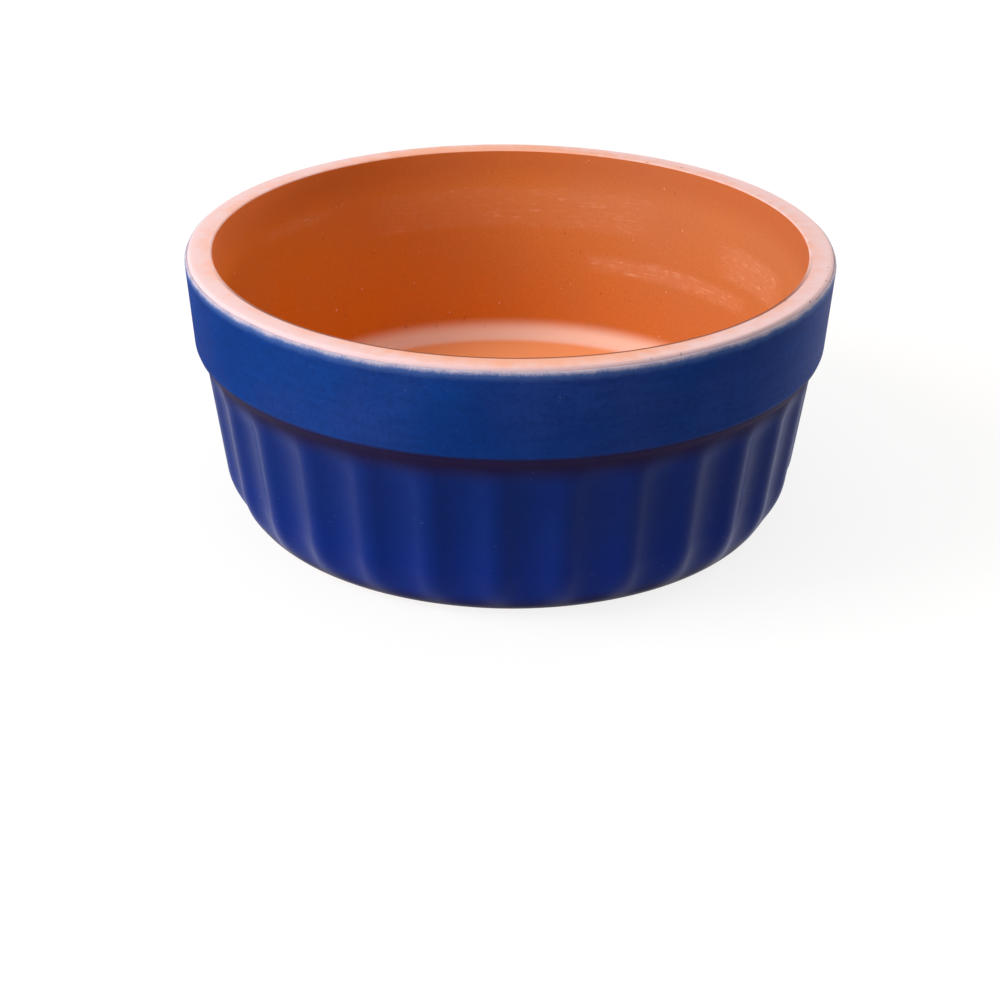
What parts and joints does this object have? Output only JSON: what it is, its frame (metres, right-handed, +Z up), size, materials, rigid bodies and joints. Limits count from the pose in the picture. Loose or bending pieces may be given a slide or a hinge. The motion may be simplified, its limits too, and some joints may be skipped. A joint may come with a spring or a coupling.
{
  "type": "souffle dish",
  "caption": "Round earthenware souffle dish with a plain collar, a fluted wall and a rounded foot, glazed blue outside and bare terracotta inside and on the rim.",
  "frame": {"origin": "centre of the dish on the plane it stands on", "axes": "+Z up along the dish's axis, -Y through the centre of one flute"},
  "size_m": [0.14, 0.14, 0.0588],
  "materials": {
    "terracotta": "matt bare fired clay",
    "blue_glaze": "satin cobalt glaze"
  },
  "bodies": {
    "root": {"terracotta_body": "terracotta", "blue_glaze": "blue_glaze"}
  },
  "joints": []
}
